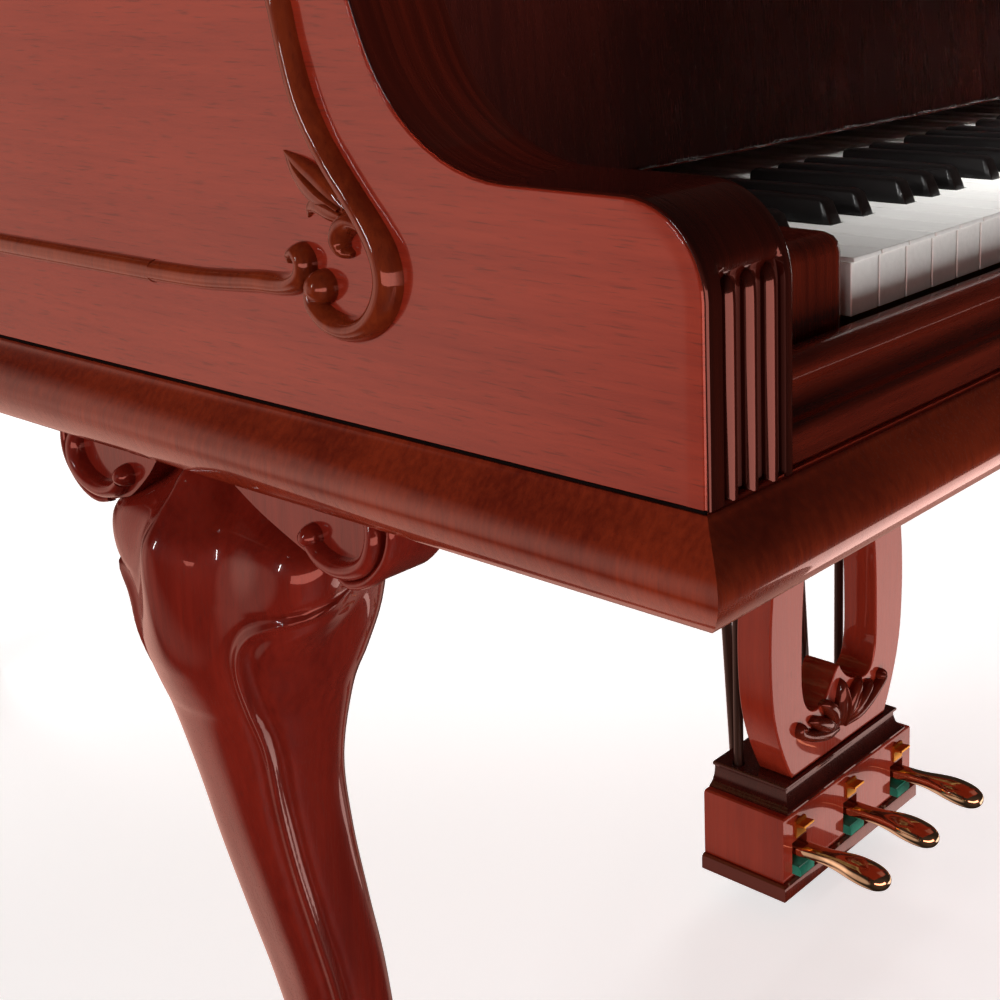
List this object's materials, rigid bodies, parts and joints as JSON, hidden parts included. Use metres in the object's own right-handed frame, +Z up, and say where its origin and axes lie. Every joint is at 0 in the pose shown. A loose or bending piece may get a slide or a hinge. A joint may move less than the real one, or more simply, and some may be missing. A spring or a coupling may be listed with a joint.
{
  "type": "grand piano",
  "caption": "Small grand piano in red mahogany with ogee arms, cabriole legs and a pedal lyre; its lid, fallboard, desk, keys and pedals move.",
  "frame": {"origin": "floor level, in the middle of the whole object's width and length", "axes": "+X towards the treble side, +Y from the keyboard towards the tail, +Z up"},
  "size_m": [1.534, 1.78, 1.0258],
  "materials": {
    "mahogany_gloss": "red mahogany under gloss varnish",
    "mahogany_carved": "carved red mahogany under gloss varnish",
    "spruce": "varnished spruce",
    "maple": "plain maple",
    "plate_bronze": "bronze-lacquered casting",
    "blued_steel": "blued steel",
    "steel_wire": "bright drawn wire",
    "copper_wire": "copper-covered wire",
    "key_ivory": "polished white key covering, black on the sharps",
    "hammer_felt": "maple moulding with pressed felt",
    "damper_black": "black-stained blocks with felt",
    "brass": "polished brass",
    "dark_dowel": "dark-stained dowel"
  },
  "bodies": {
    "case": {"outer_rim": "mahogany_gloss", "arm_cheeks": "mahogany_carved", "inner_rim": "maple", "case_beams": "spruce", "keybed": "mahogany_gloss", "base_moulding": "mahogany_carved", "side_beads": "mahogany_carved", "soundboard": "spruce", "soundboard_ribs": "spruce", "bridges": "maple", "pin_block": "maple", "iron_plate": "plate_bronze", "tuning_pins": "blued_steel", "bass_strings": "copper_wire", "treble_strings": "steel_wire", "key_slip": "mahogany_gloss", "key_blocks": "mahogany_gloss", "name_rail": "mahogany_gloss", "desk_runners": "mahogany_gloss", "case_hinge_leaves": "brass", "prop_bracket": "maple", "front_left_leg": "mahogany_carved", "front_right_leg": "mahogany_carved", "rear_leg": "mahogany_carved", "leg_brackets": "mahogany_carved", "lyre": "mahogany_carved", "pedal_box": "mahogany_carved", "pedal_guides": "brass", "lyre_braces": "dark_dowel"},
    "lid": {"main_lid": "mahogany_gloss", "lid_hinge_leaves": "brass", "prop_cup": "brass"},
    "front_lid": {"front_lid": "mahogany_gloss"},
    "lid_prop": {"lid_prop": "mahogany_carved"},
    "fallboard": {"fallboard": "mahogany_gloss"},
    "music_tray": {"music_tray": "mahogany_gloss"},
    "music_desk": {"music_desk": "mahogany_gloss"},
    "action": {"key_frame": "maple", "action_rails": "maple"},
    "dampers": {"dampers": "damper_black"},
    "left_pedal": {"left_pedal": "brass"},
    "left_pedal_rod": {"left_pedal_rod": "dark_dowel"},
    "middle_pedal": {"middle_pedal": "brass"},
    "middle_pedal_rod": {"middle_pedal_rod": "dark_dowel"},
    "right_pedal": {"right_pedal": "brass"},
    "right_pedal_rod": {"right_pedal_rod": "dark_dowel"},
    "keys_1": {"keys_octave_1": "key_ivory"},
    "hammers_1": {"hammers_octave_1": "hammer_felt"},
    "keys_2": {"keys_octave_2": "key_ivory"},
    "hammers_2": {"hammers_octave_2": "hammer_felt"},
    "keys_3": {"keys_octave_3": "key_ivory"},
    "hammers_3": {"hammers_octave_3": "hammer_felt"},
    "keys_4": {"keys_octave_4": "key_ivory"},
    "hammers_4": {"hammers_octave_4": "hammer_felt"},
    "keys_5": {"keys_octave_5": "key_ivory"},
    "hammers_5": {"hammers_octave_5": "hammer_felt"},
    "keys_6": {"keys_octave_6": "key_ivory"},
    "hammers_6": {"hammers_octave_6": "hammer_felt"},
    "keys_7": {"keys_octave_7": "key_ivory"},
    "hammers_7": {"hammers_octave_7": "hammer_felt"}
  },
  "joints": [
    {"name": "lid_hinge", "type": "hinge", "parent": "case", "child": "lid", "pos_m": [-0.756, 0, 0.985], "axis": [0, -1, 0], "range_deg": [0, 30.5]},
    {"name": "front_lid_hinge", "type": "hinge", "parent": "lid", "child": "front_lid", "pos_m": [0, -0.3495, 1.0056], "axis": [-1, 0, 0], "range_deg": [-180, 0]},
    {"name": "prop_hinge", "type": "hinge", "parent": "case", "child": "lid_prop", "pos_m": [-0.0098, 0.5764, 0.903], "axis": [-0.8678, -0.497, 0], "range_deg": [0, 47.4]},
    {"name": "fallboard_hinge", "type": "hinge", "parent": "case", "child": "fallboard", "pos_m": [0, -0.695, 0.762], "axis": [1, 0, 0], "range_deg": [0, 95]},
    {"name": "tray_slide", "type": "slide", "parent": "case", "child": "music_tray", "axis": [0, -1, 0], "range_m": [0, 0.06]},
    {"name": "desk_hinge", "type": "hinge", "parent": "music_tray", "child": "music_desk", "pos_m": [0, -0.632, 0.9454], "axis": [1, 0, 0], "range_deg": [0, 65]},
    {"name": "action_shift", "type": "slide", "parent": "case", "child": "action", "axis": [1, 0, 0], "range_m": [0, 0.003]},
    {"name": "damper_lift", "type": "slide", "parent": "case", "child": "dampers", "axis": [0, 0, 1], "range_m": [0, 0.008]},
    {"name": "left_pedal_pivot", "type": "hinge", "parent": "case", "child": "left_pedal", "pos_m": [-0.086, -0.44, 0.0655], "axis": [1, 0, 0], "range_deg": [0, 7], "stiffness_Nm_per_rad": 20, "springref_deg": -3.44},
    {"name": "left_rod_lift", "type": "slide", "parent": "case", "child": "left_pedal_rod", "axis": [0, 0, 1], "range_m": [0, 0.0035]},
    {"name": "middle_pedal_pivot", "type": "hinge", "parent": "case", "child": "middle_pedal", "pos_m": [0, -0.44, 0.0655], "axis": [1, 0, 0], "range_deg": [0, 7], "stiffness_Nm_per_rad": 20, "springref_deg": -3.44},
    {"name": "middle_rod_lift", "type": "slide", "parent": "case", "child": "middle_pedal_rod", "axis": [0, 0, 1], "range_m": [0, 0.0035]},
    {"name": "right_pedal_pivot", "type": "hinge", "parent": "case", "child": "right_pedal", "pos_m": [0.086, -0.44, 0.0655], "axis": [1, 0, 0], "range_deg": [0, 7], "stiffness_Nm_per_rad": 20, "springref_deg": -3.44},
    {"name": "right_rod_lift", "type": "slide", "parent": "case", "child": "right_pedal_rod", "axis": [0, 0, 1], "range_m": [0, 0.0035]},
    {"name": "keys_1_rock", "type": "hinge", "parent": "action", "child": "keys_1", "pos_m": [0, -0.625, 0.709], "axis": [1, 0, 0], "range_deg": [0, 2.5], "stiffness_Nm_per_rad": 3, "springref_deg": -8.59},
    {"name": "hammers_1_swing", "type": "hinge", "parent": "action", "child": "hammers_1", "pos_m": [0, -0.53, 0.79], "axis": [1, 0, 0], "range_deg": [0, 20]},
    {"name": "keys_2_rock", "type": "hinge", "parent": "action", "child": "keys_2", "pos_m": [0, -0.625, 0.709], "axis": [1, 0, 0], "range_deg": [0, 2.5], "stiffness_Nm_per_rad": 3, "springref_deg": -8.59},
    {"name": "hammers_2_swing", "type": "hinge", "parent": "action", "child": "hammers_2", "pos_m": [0, -0.53, 0.79], "axis": [1, 0, 0], "range_deg": [0, 20]},
    {"name": "keys_3_rock", "type": "hinge", "parent": "action", "child": "keys_3", "pos_m": [0, -0.625, 0.709], "axis": [1, 0, 0], "range_deg": [0, 2.5], "stiffness_Nm_per_rad": 3, "springref_deg": -8.59},
    {"name": "hammers_3_swing", "type": "hinge", "parent": "action", "child": "hammers_3", "pos_m": [0, -0.53, 0.79], "axis": [1, 0, 0], "range_deg": [0, 20]},
    {"name": "keys_4_rock", "type": "hinge", "parent": "action", "child": "keys_4", "pos_m": [0, -0.625, 0.709], "axis": [1, 0, 0], "range_deg": [0, 2.5], "stiffness_Nm_per_rad": 3, "springref_deg": -8.59},
    {"name": "hammers_4_swing", "type": "hinge", "parent": "action", "child": "hammers_4", "pos_m": [0, -0.53, 0.79], "axis": [1, 0, 0], "range_deg": [0, 20]},
    {"name": "keys_5_rock", "type": "hinge", "parent": "action", "child": "keys_5", "pos_m": [0, -0.625, 0.709], "axis": [1, 0, 0], "range_deg": [0, 2.5], "stiffness_Nm_per_rad": 3, "springref_deg": -8.59},
    {"name": "hammers_5_swing", "type": "hinge", "parent": "action", "child": "hammers_5", "pos_m": [0, -0.53, 0.79], "axis": [1, 0, 0], "range_deg": [0, 20]},
    {"name": "keys_6_rock", "type": "hinge", "parent": "action", "child": "keys_6", "pos_m": [0, -0.625, 0.709], "axis": [1, 0, 0], "range_deg": [0, 2.5], "stiffness_Nm_per_rad": 3, "springref_deg": -8.59},
    {"name": "hammers_6_swing", "type": "hinge", "parent": "action", "child": "hammers_6", "pos_m": [0, -0.53, 0.79], "axis": [1, 0, 0], "range_deg": [0, 20]},
    {"name": "keys_7_rock", "type": "hinge", "parent": "action", "child": "keys_7", "pos_m": [0, -0.625, 0.709], "axis": [1, 0, 0], "range_deg": [0, 2.5], "stiffness_Nm_per_rad": 3, "springref_deg": -8.59},
    {"name": "hammers_7_swing", "type": "hinge", "parent": "action", "child": "hammers_7", "pos_m": [0, -0.53, 0.79], "axis": [1, 0, 0], "range_deg": [0, 20]}
  ],
  "couplings": [
    {"joint": "prop_hinge", "follows": "lid_hinge", "ratio": 1.554},
    {"joint": "left_pedal_pivot", "follows": "action_shift", "rad_per_m": 40.7},
    {"joint": "left_rod_lift", "follows": "action_shift", "ratio": 1.14},
    {"joint": "damper_lift", "follows": "right_pedal_pivot", "m_per_rad": 0.065},
    {"joint": "middle_rod_lift", "follows": "middle_pedal_pivot", "m_per_rad": 0.028},
    {"joint": "right_rod_lift", "follows": "right_pedal_pivot", "m_per_rad": 0.028},
    {"joint": "hammers_1_swing", "follows": "keys_1_rock", "ratio": 7.99},
    {"joint": "hammers_2_swing", "follows": "keys_2_rock", "ratio": 7.99},
    {"joint": "hammers_3_swing", "follows": "keys_3_rock", "ratio": 7.99},
    {"joint": "hammers_4_swing", "follows": "keys_4_rock", "ratio": 7.99},
    {"joint": "hammers_5_swing", "follows": "keys_5_rock", "ratio": 7.99},
    {"joint": "hammers_6_swing", "follows": "keys_6_rock", "ratio": 7.99},
    {"joint": "hammers_7_swing", "follows": "keys_7_rock", "ratio": 7.99}
  ]
}
